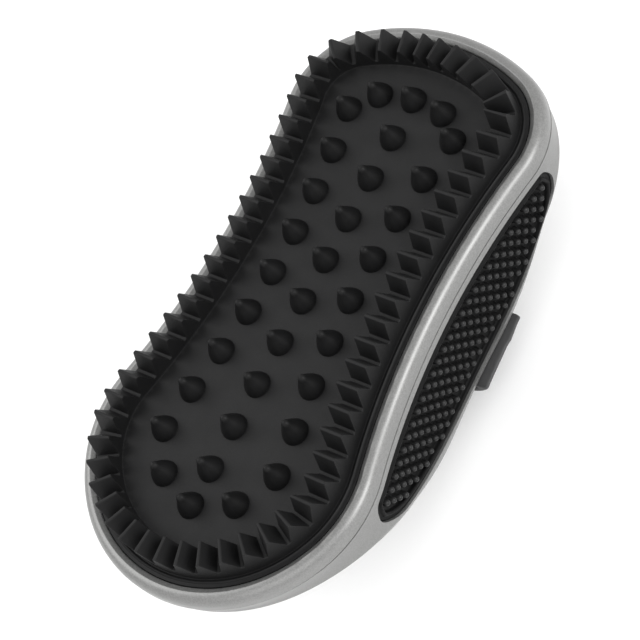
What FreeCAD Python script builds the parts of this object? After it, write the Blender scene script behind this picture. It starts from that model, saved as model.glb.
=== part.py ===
"""Rubber curry brush: a palm-sized hourglass grooming brush lying on its back.

+Z is the way the rubber teeth point, +X runs to the narrow toe end and the wider heel is
at -X.  The origin is under the middle of the brush, on the surface it lies on.
All sizes are millimetres.
"""
import FreeCAD, Part
import math
import os

import Sketcher
from FreeCAD import Placement, Rotation, Vector

doc = FreeCAD.newDocument("CurryBrush")

# Driving sizes: name, value, what it is.
SIZES = [
    # plan outline of the handle where the bezel meets the shell, as tangent arcs
    ("body_length", 163.2, "toe to heel over the silver handle"),
    ("waist_half", 35.3, "half width at the narrowest place"),
    ("waist_shift", 15.6, "how far the waist lies towards the toe"),
    ("waist_sag", 17.179, "depth of the waist arc over a chord as long as the brush"),
    ("toe_radius", 61.9, "arc across the toe end"),
    ("toe_corner", 22.9, "arc of each toe corner"),
    ("heel_radius", 43.6, "arc across the heel end"),
    ("heel_corner", 34.3, "arc of each heel corner"),
    # heights
    ("dome_depth", 41.6, "deepest place of the shell under the bezel"),
    ("dome_tail", 4.0, "depth that is left at both ends of the shell"),
    ("hump_half", 44.5, "half length of the hump at half its depth"),
    ("hump_shift", 5.8, "how far the hump lies towards the toe"),
    ("round_height", 17.2, "height of the rounding from the side walls to the back"),
    ("round_power", 2.5, "squareness of that rounding, 2 is an ellipse"),
    ("wall_hollow", 1.0, "how far the side walls are drawn in for the fingers"),
    ("shell_wall", 2.4, "wall of the shell"),
    ("face_rise", 6.0, "pad floor above the joint of bezel and shell"),
    # bezel
    ("bezel_width", 4.1, "visible width of the bezel"),
    ("bezel_crest", 1.2, "bezel crest under the pad floor"),
    ("bezel_round", 2.7, "rounding of the bezel's outer edge"),
    ("bezel_wall", 1.5, "wall of the bezel outside the plate"),
    ("lip_drop", 0.6, "slope of the bezel's inner lip"),
    ("lip_width", 1.3, "width of that slope"),
    ("lip_under", 2.6, "underside of the bezel below the pad floor"),
    ("tongue_inset", 0.9, "outer side of the tongue that enters the shell"),
    ("tongue_drop", 0.8, "length of that tongue"),
    ("snap_reach", 0.7, "snap bead that hooks under the plate"),
    # rubber pad
    ("pad_thick", 2.4, "floor of the rubber pad"),
    ("flange_thick", 1.8, "flange held between bezel and plate"),
    ("flange_top", 1.8, "visible flange below the pad floor"),
    ("flange_gap", 0.3, "room round the flange and the plate"),
    ("bead_inset", 5.6, "sealing bead from the outline"),
    ("bead_radius", 0.5, "height and half width of that bead"),
    ("ring_inset", 6.5, "outer side of the toothed ring from the outline"),
    ("ring_width", 6.4, "width of the toothed ring"),
    ("valley_height", 1.6, "bottom of the notches above the pad floor"),
    ("tooth_height", 7.1, "tooth crests above the pad floor"),
    ("crest_width", 0.7, "flat on a tooth crest"),
    ("valley_width", 0.9, "flat at the bottom of a notch"),
    ("comb_toe_margin", 21.4, "first straight tooth from the toe tip"),
    ("comb_heel_margin", 34.3, "last straight tooth from the heel tip"),
    ("toe_focus", 45.6, "point that the toe teeth aim at, from the toe tip"),
    ("toe_spread", 48.5, "angle over which each half of the toe teeth spreads"),
    ("toe_gather", 1.17, "how much the toe teeth crowd towards the tip"),
    ("heel_focus", 40.2, "point that the heel teeth aim at, from the heel tip"),
    ("cone_height", 6.6, "massage cones"),
    ("cone_radius", 3.5, "radius of a cone at its foot"),
    ("cone_tip", 1.1, "radius of a cone's round tip"),
    ("cone_pitch", 12.0, "spacing of the middle row of cones"),
    ("end_cone_toe", 22.2, "last middle cone from the toe tip"),
    ("end_cone_heel", 23.4, "last middle cone from the heel tip"),
    ("side_cone_toe", 29.6, "first side cone from the toe tip"),
    ("side_cone_heel", 38.3, "last side cone from the heel tip"),
    ("side_cone_gap", 10.2, "side cones from the ring, half way along"),
    ("side_cone_lean", 0.024, "how much that room shrinks per millimetre towards the toe"),
    ("arc_cone_toe", 23.5, "toe arc cones from the toe tip"),
    ("arc_cone_toe_y", 10.1, "toe arc cones from the middle line"),
    ("arc_cone_heel", 28.0, "heel arc cones from the heel tip"),
    ("arc_cone_heel_y", 11.8, "heel arc cones from the middle line"),
    # backing plate and its screws
    ("plate_edge", 1.5, "plate under the flange"),
    ("plate_wall", 2.6, "plate under the pad floor"),
    ("platform_gap", 0.1, "room between plate and pad floor"),
    ("platform_inset", 8.0, "raised middle of the plate from the outline"),
    ("screw_size", 2.9, "thread of the plate screws"),
    ("screw_length", 10.0, "plate screws under the head"),
    ("head_width", 5.6, "screw head"),
    ("head_height", 1.1, "screw head"),
    ("head_room", 0.3, "room round and over a screw head"),
    ("screw_toe", 30.0, "front screws from the toe tip"),
    ("screw_heel", 28.0, "rear screws from the heel tip"),
    ("screw_middle", -8.0, "middle screws along the brush"),
    ("screw_spread", 18.0, "screws from the middle line"),
    ("boss_width", 7.0, "screw posts of the shell"),
    # side grips
    ("grip_length", 100.6, "grip along the side"),
    ("grip_foot", 15.25, "lowest place of a grip above the surface"),
    ("grip_shift", 7.8, "grip middle towards the toe"),
    ("grip_drop", 2.4, "silver strip between bezel and grip"),
    ("grip_depth", 1.6, "thickness of the grip's sheet"),
    ("grip_gap", 0.2, "room round the grip in its recess"),
    ("grip_corner", 3.0, "rounding of the grip's two tips"),
    ("stud_width", 4.0, "studs that hold a grip"),
    ("stud_spread", 30.0, "outer studs from the middle one"),
    ("stud_drop", 8.0, "studs below the top edge of a grip"),
    ("stud_tail", 2.5, "stud beyond the inner face of the shell"),
    ("washer_width", 9.0, "push-on washer of a stud"),
    ("washer_thick", 0.5, "push-on washer of a stud"),
    # hand strap
    ("strap_width", 21.2, "strap over the back"),
    ("strap_thick", 2.0, "strap"),
    ("strap_gap", 0.8, "room between strap and shell"),
    ("strap_height", 11.0, "where the strap enters the shell, above the surface"),
    ("strap_flat", 0.35, "flattening of the strap where the brush rests on it"),
    ("slot_gap", 0.4, "room round the strap in its slot"),
    ("pin_size", 2.5, "pin that holds a strap end"),
    ("pin_length", 33.0, "pin that holds a strap end"),
    ("pin_reach", 19.0, "pin from the middle of the brush"),
    ("eye_wall", 1.1, "rubber round the pin"),
    ("lug_thick", 3.0, "lugs of the shell that carry the pin"),
    ("fit_gap", 0.1, "room of a pin or stud in its hole"),
]

# Heights above the surface and other sizes that follow from the driving ones.
LEVELS = [
    ("waist_radius", "Sizes.body_length * Sizes.body_length / (8 * Sizes.waist_sag)"),
    ("joint_level", "Sizes.strap_thick + Sizes.strap_gap - Sizes.strap_flat + Sizes.dome_depth"),
    ("face_level", "joint_level + Sizes.face_rise"),
    ("crest_level", "face_level - Sizes.bezel_crest"),
    ("lip_level", "face_level - Sizes.lip_under"),
    ("flange_base", "lip_level - Sizes.flange_thick"),
    ("plate_base", "flange_base - Sizes.plate_edge"),
    ("platform_level", "face_level - Sizes.pad_thick - Sizes.platform_gap"),
    ("plate_under", "platform_level - Sizes.plate_wall"),
    ("ring_inner", "Sizes.ring_inset + Sizes.ring_width"),
    ("flange_inset", "Sizes.bezel_wall + Sizes.flange_gap"),
    ("groove_inset", "Sizes.bezel_width + Sizes.flange_gap / 2"),
    ("pocket_inset", "Sizes.platform_inset + Sizes.plate_wall"),
    ("head_level", "platform_level - Sizes.head_height - Sizes.head_room"),
    ("screw_toe_x", "Sizes.body_length / 2 - Sizes.screw_toe"),
    ("screw_heel_x", "Sizes.screw_heel - Sizes.body_length / 2"),
    ("grip_top", "joint_level - Sizes.grip_drop"),
    ("grip_height", "grip_top - Sizes.grip_foot"),
]

sheet = doc.addObject("Spreadsheet::Sheet", "Sizes")
for row, (alias, number, note) in enumerate(SIZES, start=1):
    sheet.set(f"A{row}", note)
    sheet.set(f"B{row}", str(number))
    sheet.setAlias(f"B{row}", alias)
levels = doc.addObject("Spreadsheet::Sheet", "Levels")
for row, (alias, formula) in enumerate(LEVELS, start=1):
    levels.set(f"B{row}", "=" + formula)
    levels.setAlias(f"B{row}", alias)
doc.recompute()


def size(alias):
    """A driving size from the sheet."""
    return float(sheet.get(alias))


def level(alias):
    """A worked-out height or width from the second sheet."""
    return float(levels.get(alias))


# ---------------------------------------------------------------- plan outline

def circles_meet(centre_a, radius_a, centre_b, radius_b):
    """Both points where two circles cross."""
    gap = centre_b - centre_a
    along = (radius_a ** 2 - radius_b ** 2 + gap.Length ** 2) / (2 * gap.Length)
    across = math.sqrt(radius_a ** 2 - along ** 2)
    unit = gap / gap.Length
    foot = centre_a + unit * along
    normal = Vector(-unit.y, unit.x, 0)
    return foot + normal * across, foot - normal * across


def outline_centres():
    """Centres of the toe, toe corner, waist, heel corner and heel arcs, on the +Y side."""
    half = size("body_length") / 2
    toe = Vector(half - size("toe_radius"), 0, 0)
    heel = Vector(size("heel_radius") - half, 0, 0)
    waist = Vector(size("waist_shift"), size("waist_half") + level("waist_radius"), 0)
    toe_corner = max(
        circles_meet(toe, size("toe_radius") - size("toe_corner"),
                     waist, level("waist_radius") + size("toe_corner")),
        key=lambda point: point.x)
    heel_corner = min(
        circles_meet(heel, size("heel_radius") - size("heel_corner"),
                     waist, level("waist_radius") + size("heel_corner")),
        key=lambda point: point.x)
    return toe, toe_corner, waist, heel_corner, heel


CENTRES = outline_centres()


def outline_radii(inset):
    """Radii of the same five arcs for an outline that lies inside by inset."""
    return (size("toe_radius") - inset, size("toe_corner") - inset,
            level("waist_radius") + inset, size("heel_corner") - inset,
            size("heel_radius") - inset)


def heading(start, end):
    """Direction from one point to another, in radians."""
    return math.atan2(end.y - start.y, end.x - start.x)


def outline_angles():
    """Start and end direction of the five arcs on the +Y side, toe to heel."""
    toe, toe_corner, waist, heel_corner, heel = CENTRES
    toe_end = heading(toe, toe_corner)
    corner_end = heading(toe_corner, waist)
    waist_start = heading(waist, toe_corner)
    waist_end = heading(waist, heel_corner)
    heel_start = heading(heel, heel_corner)
    return [(0, toe_end), (toe_end, corner_end), (waist_start, waist_end),
            (heading(heel_corner, waist), heel_start), (heel_start, math.pi)]


def outline_arcs(inset):
    """The five arcs of the +Y half of an outline, as (centre, radius, start, end)."""
    return [(centre, radius, start, end) for centre, radius, (start, end)
            in zip(CENTRES, outline_radii(inset), outline_angles())]


def outline_points(inset, count):
    """Points spread evenly along the +Y half of an outline, from toe tip to heel tip."""
    arcs = outline_arcs(inset)
    lengths = [radius * abs(end - start) for _, radius, start, end in arcs]
    points = []
    for index in range(count):
        travel = sum(lengths) * index / (count - 1)
        for (centre, radius, start, end), length in zip(arcs, lengths):
            if travel <= length or length is lengths[-1]:
                angle = start + (end - start) * min(travel / length, 1.0)
                break
            travel -= length
        points.append(centre + Vector(radius * math.cos(angle), radius * math.sin(angle), 0))
    points[0].y = 0.0
    points[-1].y = 0.0
    return points


def outline_wire(inset, height=0.0):
    """A closed outline at a height."""
    edges = []
    lift = Vector(0, 0, height)
    for centre, radius, start, end in outline_arcs(inset):
        middle = (start + end) / 2
        for side in (1, -1):
            ends = [Vector(centre.x + radius * math.cos(angle),
                           side * (centre.y + radius * math.sin(angle)), 0) + lift
                    for angle in (start, middle, end)]
            edges.append(Part.Arc(*ends).toShape())
    return Part.Wire(Part.__sortEdges__(edges))


def outline_prism(inset, bottom, top):
    """A solid with the plan outline between two heights."""
    face = Part.Face(outline_wire(inset, bottom))
    return face.extrude(Vector(0, 0, top - bottom))


def origin_plane(body, role):
    """One of the three planes of a body's own origin."""
    for feature in body.Origin.OriginFeatures:
        if feature.Role == role:
            return feature
    raise ValueError(role)


def new_body(label):
    """A PartDesign body with its own label."""
    body = doc.addObject("PartDesign::Body", label)
    body.Label = label
    return body


def new_sketch(body, name, height_formula):
    """A sketch parallel to the ground at a height given by a formula."""
    sketch = body.newObject("Sketcher::SketchObject", name)
    sketch.AttachmentSupport = [(origin_plane(body, "XY_Plane"), "")]
    sketch.MapMode = "FlatFace"
    sketch.setExpression("AttachmentOffset.Base.z", height_formula)
    return sketch


def add_outline(sketch, inset_formula, inset):
    """Draw the closed outline in a sketch and tie its arcs to the sheet."""
    first = sketch.GeometryCount
    halves = outline_arcs(inset)
    toe_end = halves[0][3]
    heel_start = halves[4][2]
    spans = [(halves[0][0], halves[0][1], -toe_end, toe_end)]
    for centre, radius, start, end in halves[1:4]:
        spans.append((centre, radius, min(start, end), max(start, end)))
    spans.append((halves[4][0], halves[4][1], heel_start, 2 * math.pi - heel_start))
    for centre, radius, start, end in reversed(halves[1:4]):
        mirrored = Vector(centre.x, -centre.y, 0)
        spans.append((mirrored, radius, -max(start, end), -min(start, end)))
    for centre, radius, start, end in spans:
        circle = Part.Circle(centre, Vector(0, 0, 1), radius)
        sketch.addGeometry(Part.ArcOfCircle(circle, start, end))

    # The hollow waist arcs run the other way round, so their ends swap.
    toe, corner, waist, heel_corner, heel, low_heel, low_waist, low_corner = range(
        first, first + 8)
    joints = [(toe, 2, corner, 1), (corner, 2, waist, 2), (waist, 1, heel_corner, 1),
              (heel_corner, 2, heel, 1), (heel, 2, low_heel, 1), (low_heel, 2, low_waist, 2),
              (low_waist, 1, low_corner, 1), (low_corner, 2, toe, 1)]
    for arc_a, end_a, arc_b, end_b in joints:
        sketch.addConstraint(Sketcher.Constraint("Tangent", arc_a, end_a, arc_b, end_b))
    for arc in (toe, heel):
        sketch.addConstraint(Sketcher.Constraint("PointOnObject", arc, 3, -1))

    radii = outline_radii(inset)
    tied = [
        (("Radius", toe, radii[0]), "Sizes.toe_radius - (%s)"),
        (("Radius", corner, radii[1]), "Sizes.toe_corner - (%s)"),
        (("Radius", low_corner, radii[1]), "Sizes.toe_corner - (%s)"),
        (("Radius", waist, radii[2]), "Levels.waist_radius + (%s)"),
        (("Radius", low_waist, radii[2]), "Levels.waist_radius + (%s)"),
        (("Radius", heel_corner, radii[3]), "Sizes.heel_corner - (%s)"),
        (("Radius", low_heel, radii[3]), "Sizes.heel_corner - (%s)"),
        (("Radius", heel, radii[4]), "Sizes.heel_radius - (%s)"),
    ]
    half_length = "Sizes.body_length / 2"
    waist_out = "Sizes.waist_half + Levels.waist_radius"
    places = [
        (("DistanceX", -1, 1, toe, 3, CENTRES[0].x), f"{half_length} - Sizes.toe_radius"),
        (("DistanceX", heel, 3, -1, 1, -CENTRES[4].x), f"{half_length} - Sizes.heel_radius"),
        (("DistanceX", -1, 1, waist, 3, CENTRES[2].x), "Sizes.waist_shift"),
        (("DistanceY", -1, 1, waist, 3, CENTRES[2].y), waist_out),
        (("DistanceX", -1, 1, low_waist, 3, CENTRES[2].x), "Sizes.waist_shift"),
        (("DistanceY", low_waist, 3, -1, 1, CENTRES[2].y), waist_out),
    ]
    for arguments, formula in tied:
        index = sketch.addConstraint(Sketcher.Constraint(*arguments))
        sketch.setExpression(f"Constraints[{index}]", formula % inset_formula)
    for arguments, formula in places:
        index = sketch.addConstraint(Sketcher.Constraint(*arguments))
        sketch.setExpression(f"Constraints[{index}]", formula)


def pad_between(body, name, insets, bottom, top):
    """Pad an outline, or the ring between two outlines, from one height to another."""
    sketch = new_sketch(body, name + "_sketch", bottom)
    for formula, number in insets:
        add_outline(sketch, formula, number)
    pad = body.newObject("PartDesign::Pad", name)
    pad.Profile = sketch
    pad.setExpression("Length", f"({top}) - ({bottom})")
    doc.recompute()
    return pad


def pocket_down(body, name, sketch, depth_formula, upward=False):
    """Cut a sketch into a body and make sure that the cut removes material."""
    before = body.Shape.Volume
    pocket = body.newObject("PartDesign::Pocket", name)
    pocket.Profile = sketch
    pocket.setExpression("Length", depth_formula)
    pocket.Reversed = upward
    doc.recompute()
    if body.Shape.Volume >= before - 1e-3:
        raise ValueError(name + " cuts nothing")
    return pocket


def feature(label, shape):
    """A sub-part whose shape is worked out in code."""
    node = doc.addObject("Part::Feature", label)
    node.Label = label
    node.Shape = shape
    node.Placement = Placement()
    return node


# ---------------------------------------------------------------- shell surface

SPINE_SHARE = 0.66
WALL_STEPS = 8
ROUND_STEPS = 14
OUTLINE_STEPS = 49


def hump(x):
    """Share of the full depth that the shell has at a place along its length."""
    tail = size("dome_tail") / size("dome_depth")
    far = abs(x - size("hump_shift")) / size("hump_half")
    return tail + (1 - tail) / (1 + far ** 4)


def section_steps(reach):
    """The side wall and the rounding to the spine as (inward, depth) pairs at full depth."""
    wall = size("dome_depth") - size("round_height")
    power = 2 / size("round_power")
    steps = []
    for index in range(WALL_STEPS):
        share = index / WALL_STEPS
        steps.append((size("wall_hollow") * math.sin(share * math.pi / 2), wall * share))
    for index in range(ROUND_STEPS + 1):
        angle = math.pi / 2 * index / ROUND_STEPS
        inward = (reach - size("wall_hollow")) * (1 - abs(math.cos(angle)) ** power)
        steps.append((size("wall_hollow") + inward,
                      wall + size("round_height") * math.sin(angle) ** power))
    return steps


def dome_solid(inset):
    """The outer form of the shell, or a form that lies inside it by inset."""
    top = level("joint_level")
    depth = size("dome_depth")
    rows = []
    for point in outline_points(inset, OUTLINE_STEPS):
        inward = Vector(point.x * SPINE_SHARE, 0, 0) - point
        reach = inward.Length
        row = []
        for move, drop in section_steps(reach):
            place = point + inward * (move / reach)
            share = hump(place.x)
            lift = inset * (drop / depth) ** 2
            row.append(Vector(place.x, place.y, top - drop * share + lift))
        rows.append(row)
    for row in (rows[0], rows[-1]):
        for place in row:
            place.y = 0.0
    for row in rows:
        row[-1].y = 0.0
    surface = Part.BSplineSurface()
    surface.interpolate(rows)
    side = surface.toShape()
    other = side.mirror(Vector(0, 0, 0), Vector(0, 1, 0))
    rims = [edge for face in (side, other) for edge in face.Edges
            if abs(edge.BoundBox.ZMax - top) < 1e-6 and abs(edge.BoundBox.ZMin - top) < 1e-6]
    lid = Part.Face(Part.Wire(Part.__sortEdges__(rims)))
    hull = Part.makeShell([side, other, lid])
    hull.sewShape()
    solid = Part.makeSolid(hull)
    if solid.Volume < 0:
        solid.reverse()
    return solid


def ray_hit(inset, start, direction):
    """Where a ray that leaves the middle of the brush crosses an outline on the +Y side."""
    hits = []
    for centre, radius, first, last in outline_arcs(inset):
        gap = start - centre
        along = gap.dot(direction)
        inside = along ** 2 - gap.dot(gap) + radius ** 2
        if inside < 0:
            continue
        for sign in (-1, 1):
            travel = -along + sign * math.sqrt(inside)
            point = start + direction * travel
            angle = heading(centre, point)
            low, high = min(first, last) - 1e-6, max(first, last) + 1e-6
            if travel > 0 and low <= angle <= high:
                hits.append((travel, point))
    return max(hits, key=lambda hit: hit[0])[1]


# ---------------------------------------------------------------- rubber pad

COMB_TEETH = 19
TOE_FAN_TEETH = 5
HEEL_FAN_TEETH = 7
MIDDLE_CONES = 9
SIDE_CONES = 9
END_SET_IN = 0.15
ROOT_OVERLAP = 0.3


def across_ring(start, direction):
    """Inner and outer point of the toothed ring on a ray, a little inside its walls."""
    inner = ray_hit(level("ring_inner"), start, direction)
    outer = ray_hit(size("ring_inset"), start, direction)
    step = (outer - inner).normalize() * END_SET_IN
    return inner + step, outer - step


def fan_lines(focus_x, spread, count, gather, forward):
    """Lines between the teeth of a fan, from the tip round to the side."""
    angles = [spread * (index / count) ** gather for index in range(count + 1)]
    return [across_ring(Vector(focus_x, 0, 0),
                        Vector(forward * math.cos(angle), math.sin(angle), 0))
            for angle in angles]


def tooth_lines():
    """Both border lines of every tooth of the +Y half, from the toe tip to the heel tip."""
    half = size("body_length") / 2
    first = half - size("comb_toe_margin")
    last = size("comb_heel_margin") - half
    pitch = (first - last) / (COMB_TEETH - 1)
    comb = [across_ring(Vector(first + pitch / 2 - pitch * index, 0, 0), Vector(0, 1, 0))
            for index in range(COMB_TEETH + 1)]
    toe = fan_lines(half - size("toe_focus"), math.radians(size("toe_spread")),
                    TOE_FAN_TEETH, size("toe_gather"), 1)
    heel_focus = size("heel_focus") - half
    last_line = (comb[-1][0] + comb[-1][1]) * 0.5
    heel_spread = math.atan2(last_line.y, heel_focus - last_line.x)
    heel = fan_lines(heel_focus, heel_spread, HEEL_FAN_TEETH, 1, -1)[::-1]
    pairs = []
    for lines in (toe, comb, heel):
        pairs.extend(zip(lines, lines[1:]))
    return pairs


def tooth_solid(line_a, line_b):
    """A ridge between two notches: a flat-topped wedge that runs across the ring."""
    root = level("face_level") + size("valley_height") - ROOT_OVERLAP
    top = level("face_level") + size("tooth_height")
    rise = size("tooth_height") - size("valley_height")
    half_crest = size("crest_width") / 2
    ends = []
    for near, far in zip(line_a, line_b):
        span = far - near
        unit = span / span.Length
        lean = (span.Length - size("valley_width") - size("crest_width")) / 2 / rise
        half_root = (span.Length - size("valley_width")) / 2 + lean * ROOT_OVERLAP
        middle = (near + far) * 0.5
        corners = [middle - unit * half_root + Vector(0, 0, root),
                   middle + unit * half_root + Vector(0, 0, root),
                   middle + unit * half_crest + Vector(0, 0, top),
                   middle - unit * half_crest + Vector(0, 0, top)]
        ends.append(Part.makePolygon(corners + corners[:1]))
    return Part.makeLoft(ends, True, True)


def cone_solid(x, y):
    """A massage cone with a round tip."""
    height = size("cone_height")
    foot = size("cone_radius")
    tip = size("cone_tip")
    ball = height - tip
    slope = math.acos(tip / math.hypot(foot, ball)) - math.atan2(ball, foot)
    bend = (slope + math.pi / 2) / 2
    touch = Vector(tip * math.cos(slope), 0, ball + tip * math.sin(slope))
    bulge = Vector(tip * math.cos(bend), 0, ball + tip * math.sin(bend))
    apex = Vector(0, 0, height)
    base = Vector(foot, 0, 0)
    sunk = Vector(foot, 0, -ROOT_OVERLAP)
    bottom = Vector(0, 0, -ROOT_OVERLAP)
    edges = [Part.makeLine(bottom, sunk), Part.makeLine(sunk, base),
             Part.makeLine(base, touch), Part.Arc(touch, bulge, apex).toShape(),
             Part.makeLine(apex, bottom)]
    solid = Part.Face(Part.Wire(edges)).revolve(Vector(0, 0, 0), Vector(0, 0, 1), 360)
    solid.translate(Vector(x, y, level("face_level")))
    return solid


def cone_places():
    """Where the cones stand: a middle row, a row along each side and an arc at each end."""
    half = size("body_length") / 2
    pitch = size("cone_pitch")
    places = [(pitch * (index - MIDDLE_CONES // 2), 0) for index in range(MIDDLE_CONES)]
    places += [(half - size("end_cone_toe"), 0), (size("end_cone_heel") - half, 0)]
    pairs = [(half - size("arc_cone_toe"), size("arc_cone_toe_y")),
             (size("arc_cone_heel") - half, size("arc_cone_heel_y"))]
    first = half - size("side_cone_toe")
    last = size("side_cone_heel") - half
    for index in range(SIDE_CONES):
        x = first + (last - first) * index / (SIDE_CONES - 1)
        wall = ray_hit(level("ring_inner"), Vector(x, 0, 0), Vector(0, 1, 0)).y
        room = size("side_cone_gap") - size("side_cone_lean") * x
        pairs.append((x, wall - room))
    for x, y in pairs:
        places += [(x, y), (x, -y)]
    return places


def rubber_pad():
    """The pad: a held flange, a sealing bead, the floor, the toothed ring and the cones."""
    face = level("face_level")
    flange_base = level("flange_base")
    lip = level("lip_level")
    flange_top = face - size("flange_top")
    ring_top = face + size("valley_height")
    bead = outline_prism(size("bead_inset") - size("bead_radius"), flange_top - ROOT_OVERLAP,
                         flange_top + size("bead_radius"))
    bead = bead.cut(outline_prism(size("bead_inset") + size("bead_radius"),
                                  flange_top - 1, flange_top + 1))
    pad = outline_prism(level("flange_inset"), flange_base, lip)
    pad = pad.fuse(outline_prism(level("groove_inset"), lip - ROOT_OVERLAP, flange_top))
    pad = pad.fuse([bead, outline_prism(size("ring_inset"), lip, ring_top)])
    pad = pad.cut(outline_prism(level("ring_inner"), face, ring_top + 1))
    pad = pad.cut(outline_prism(size("platform_inset") - size("flange_gap"), flange_base - 1,
                                face - size("pad_thick")))
    teeth = []
    for line_a, line_b in tooth_lines():
        tooth = tooth_solid(line_a, line_b)
        teeth += [tooth, tooth.mirror(Vector(0, 0, 0), Vector(0, 1, 0))]
    cones = [cone_solid(x, y) for x, y in cone_places()]
    return pad.fuse(teeth + cones)


# ---------------------------------------------------------------- shell, grips and strap

FAR = 200.0


def span_box(x, y, z):
    """A box between two values along each axis."""
    return Part.makeBox(x[1] - x[0], y[1] - y[0], z[1] - z[0], Vector(x[0], y[0], z[0]))


def both_sides(shape):
    """A shape together with its mirror image across the middle line."""
    return [shape, shape.mirror(Vector(0, 0, 0), Vector(0, 1, 0))]


def wall_place(form, x, z):
    """How far a form reaches on the +Y side at a place along it and a height."""
    line = Part.makeLine(Vector(x, 0, z), Vector(x, FAR, z))
    return line.common(form).BoundBox.YMax


def grip_leaf(grow):
    """The side view of a grip, cut straight through: straight on top and a half oval below."""
    top = level("grip_top") + grow
    half = size("grip_length") / 2 + grow
    deep = level("grip_height") + 2 * grow
    middle = size("grip_shift")
    ellipse = Part.Ellipse(Vector(middle, 0, top), half, deep)
    ellipse.rotate(Placement(Vector(middle, 0, top), Rotation(Vector(1, 0, 0), 90)))
    lower = [ellipse.value(math.pi + math.pi * index / 24) for index in range(25)]
    if lower[12].z > top:
        lower = [Vector(place.x, 0, 2 * top - place.z) for place in lower]
    curve = Part.BSplineCurve()
    curve.interpolate(lower)
    edges = [curve.toShape(), Part.makeLine(lower[-1], lower[0])]
    face = Part.Face(Part.Wire(edges))
    face.translate(Vector(0, size("waist_half") / 2, 0))
    leaf = face.extrude(Vector(0, FAR, 0))
    tips = [edge for edge in leaf.Edges
            if abs(edge.BoundBox.XLength) < 1e-6 and abs(edge.BoundBox.ZLength) < 1e-6]
    return leaf.makeFillet(size("grip_corner"), tips)


def stud_places():
    """Where a grip's studs pass through the shell, along it and in height."""
    z = level("grip_top") - size("stud_drop")
    return [(size("grip_shift") + size("stud_spread") * step, z) for step in (-1, 0, 1)]


def stud_solid(x, z, width, start, end):
    """A round bar across the side wall."""
    return Part.makeCylinder(width / 2, end - start, Vector(x, start, z), Vector(0, 1, 0))


def screw_places():
    """Where the plate screws stand."""
    spread = size("screw_spread")
    return [(x, side * spread) for x in (level("screw_toe_x"), size("screw_middle"),
                                         level("screw_heel_x")) for side in (1, -1)]


outer_form = dome_solid(0)
inner_form = dome_solid(size("shell_wall"))
grip_form = dome_solid(size("grip_depth"))
strap_start, strap_end = (size("waist_shift") + side * size("strap_width") / 2
                          for side in (-1, 1))
strap_low, strap_high = (size("strap_height") + side * size("strap_thick") / 2
                         for side in (-1, 1))


def handle_shell():
    """The hollow handle with its screw posts, strap slots, pin lugs and grip recesses."""
    joint = level("joint_level")
    shell = outer_form.cut(inner_form)
    merge = dome_solid(size("shell_wall") / 2)
    post_top = level("plate_under")
    added = []
    for x, y in screw_places():
        post = Part.makeCylinder(size("boss_width") / 2, post_top, Vector(x, y, 0))
        low = post.common(merge)
        cap = Part.makeCylinder(size("boss_width") / 2, post_top - joint + ROOT_OVERLAP,
                                Vector(x, y, joint - ROOT_OVERLAP))
        added.append(low.fuse(cap))
    lug_x = size("waist_shift")
    lug_near = size("strap_width") / 2 + size("slot_gap") + 1
    eye = size("pin_size") / 2 + size("eye_wall")
    for side in (-1, 1):
        edges = sorted((lug_x + side * lug_near, lug_x + side * (lug_near + size("lug_thick"))))
        block = span_box(edges, (size("pin_reach") - eye, FAR),
                         (0, size("strap_height") + eye)).common(merge)
        added += both_sides(block)
    shell = shell.fuse(added)

    gap = size("slot_gap")
    cuts = [outline_prism(size("tongue_inset") - size("fit_gap"),
                          joint - size("tongue_drop") - size("flange_gap"), joint)]
    cuts[0] = cuts[0].cut(outline_prism(size("shell_wall") + 1, 0, joint + 1))
    cuts += both_sides(span_box((strap_start - gap, strap_end + gap), (size("pin_reach"), FAR),
                                (strap_low - gap, strap_high + gap)))
    recess = grip_leaf(size("grip_gap")).cut(grip_form)
    cuts += both_sides(recess)
    for x, z in stud_places():
        cuts += both_sides(stud_solid(x, z, size("stud_width") + 2 * size("fit_gap"), 1, FAR))
    pin_hole = Part.makeCylinder(size("pin_size") / 2 + size("fit_gap"), size("pin_length"),
                                 Vector(lug_x - size("pin_length") / 2, size("pin_reach"),
                                        size("strap_height")), Vector(1, 0, 0))
    cuts += both_sides(pin_hole)
    depth = size("screw_length") + 1
    for x, y in screw_places():
        cuts.append(Part.makeCylinder(size("screw_size") / 2, depth + 1,
                                      Vector(x, y, level("head_level") - depth)))
    for tool in cuts:
        shell = shell.cut(tool)
    return shell


def grip_solid():
    """The rubber grip of the +Y side, a sheet that follows the wall and its three studs."""
    sheet_part = outer_form.cut(grip_form).common(grip_leaf(0))
    studs = []
    for x, z in stud_places():
        inside = wall_place(inner_form, x, z) - size("stud_tail")
        middle = (wall_place(outer_form, x, z) + wall_place(grip_form, x, z)) / 2
        studs.append(stud_solid(x, z, size("stud_width"), inside, middle))
    return sheet_part.fuse(studs)


def washer_solids():
    """The push-on washers of the +Y grip."""
    washers = []
    for x, z in stud_places():
        seat = min(wall_place(inner_form, x + reach, z + rise)
                   for reach in (-size("washer_width") / 2, 0, size("washer_width") / 2)
                   for rise in (-size("washer_width") / 2, 0, size("washer_width") / 2))
        start = seat - size("washer_thick") - size("fit_gap")
        disc = stud_solid(x, z, size("washer_width"), start, start + size("washer_thick"))
        washers.append(disc.cut(stud_solid(x, z, size("stud_width"), 1, FAR)))
    return washers


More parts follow.
